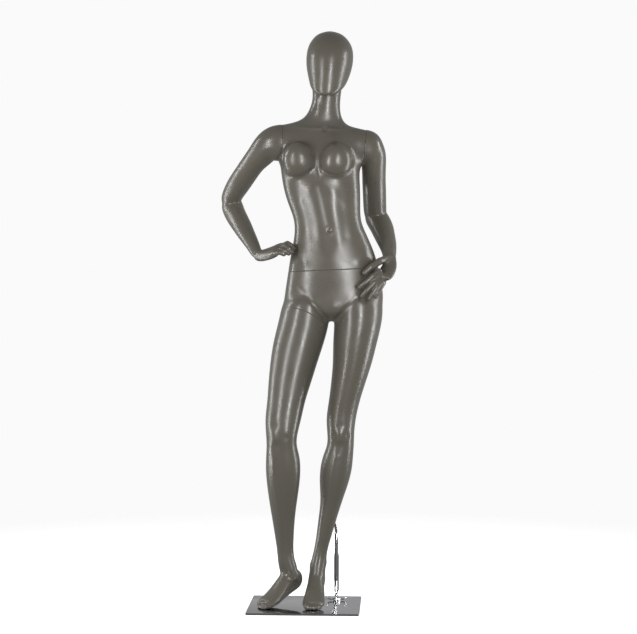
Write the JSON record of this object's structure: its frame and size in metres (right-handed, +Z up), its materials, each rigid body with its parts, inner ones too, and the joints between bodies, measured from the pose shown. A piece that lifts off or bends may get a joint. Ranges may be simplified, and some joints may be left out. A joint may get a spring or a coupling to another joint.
{
  "type": "full body mannequin",
  "caption": "Standing female display mannequin with an egg head, hand on waist and removable limbs, held on a polished base plate by a calf rod.",
  "frame": {"origin": "centre of the underside of the base, on the floor", "axes": "+Z up, the figure faces -Y and its own left side is on +X"},
  "size_m": [0.5717, 0.3563, 1.8159],
  "materials": {
    "taupe_lacquer": "smooth taupe lacquer on glass fibre, satin gloss",
    "polished_steel": "mirror polished stainless steel",
    "zinc_plated_steel": "zinc plated",
    "pad_rubber": "matt non-slip sheet",
    "bush_plastic": "moulded"
  },
  "bodies": {
    "base": {"base_plate": "polished_steel", "base_pad": "pad_rubber", "base_stud": "zinc_plated_steel", "foot_washer": "polished_steel", "rod_foot": "polished_steel", "rod_tube": "polished_steel", "rod_pin": "polished_steel"},
    "nut": {"wing_nut": "polished_steel"},
    "lower_figure": {"hips_and_left_leg": "taupe_lacquer", "calf_socket": "zinc_plated_steel", "waist_stud_plate": "zinc_plated_steel", "waist_stud_screws": "zinc_plated_steel", "thigh_slotted_plate": "zinc_plated_steel", "thigh_slotted_screws": "zinc_plated_steel"},
    "free_leg": {"right_leg": "taupe_lacquer", "thigh_stud_plate": "zinc_plated_steel", "thigh_stud_screws": "zinc_plated_steel"},
    "upper_figure": {"upper_torso": "taupe_lacquer", "waist_slotted_plate": "zinc_plated_steel", "waist_slotted_screws": "zinc_plated_steel", "right_shoulder_slotted_plate": "zinc_plated_steel", "right_shoulder_screws": "zinc_plated_steel", "left_shoulder_slotted_plate": "zinc_plated_steel", "left_shoulder_screws": "zinc_plated_steel", "neck_spigot": "zinc_plated_steel", "neck_screws": "zinc_plated_steel"},
    "head_group": {"head": "taupe_lacquer", "head_bush": "bush_plastic"},
    "right_arm_group": {"right_arm": "taupe_lacquer", "right_arm_stud_plate": "zinc_plated_steel", "right_arm_screws": "zinc_plated_steel"},
    "left_arm_group": {"left_arm": "taupe_lacquer", "left_arm_stud_plate": "zinc_plated_steel", "left_arm_screws": "zinc_plated_steel"}
  },
  "joints": [
    {"name": "figure_lift", "type": "slide", "parent": "base", "child": "lower_figure", "axis": [-0.2067, -0.1558, 0.9659], "range_m": [0, 0.08]},
    {"name": "waist_turn", "type": "hinge", "parent": "lower_figure", "child": "upper_figure", "pos_m": [0.092, -0.006, 1.0639], "axis": [-0.0429, -0.0399, 0.9983], "range_deg": [-28, 0]},
    {"name": "leg_slide", "type": "slide", "parent": "lower_figure", "child": "free_leg", "axis": [0.1127, -0.9567, 0.2684], "range_m": [0, 0.018]},
    {"name": "head_turn", "type": "hinge", "parent": "upper_figure", "child": "head_group", "pos_m": [0.069, 0.012, 1.6409], "axis": [0, 0, 1], "range_deg": [-40, 40]},
    {"name": "right_arm_turn", "type": "hinge", "parent": "upper_figure", "child": "right_arm_group", "pos_m": [-0.079, 0.022, 1.4639], "axis": [-0.9794, -0.1959, 0.049], "range_deg": [0, 25]},
    {"name": "left_arm_turn", "type": "hinge", "parent": "upper_figure", "child": "left_arm_group", "pos_m": [0.186, 0.022, 1.4499], "axis": [-0.9889, -0.089, 0.1187], "range_deg": [0, 15]},
    {"name": "wing_nut_turn", "type": "hinge", "parent": "base", "child": "nut", "pos_m": [0.097, 0.077, 0.0065], "axis": [0, 0, 1], "range_deg": [0, 360]}
  ]
}
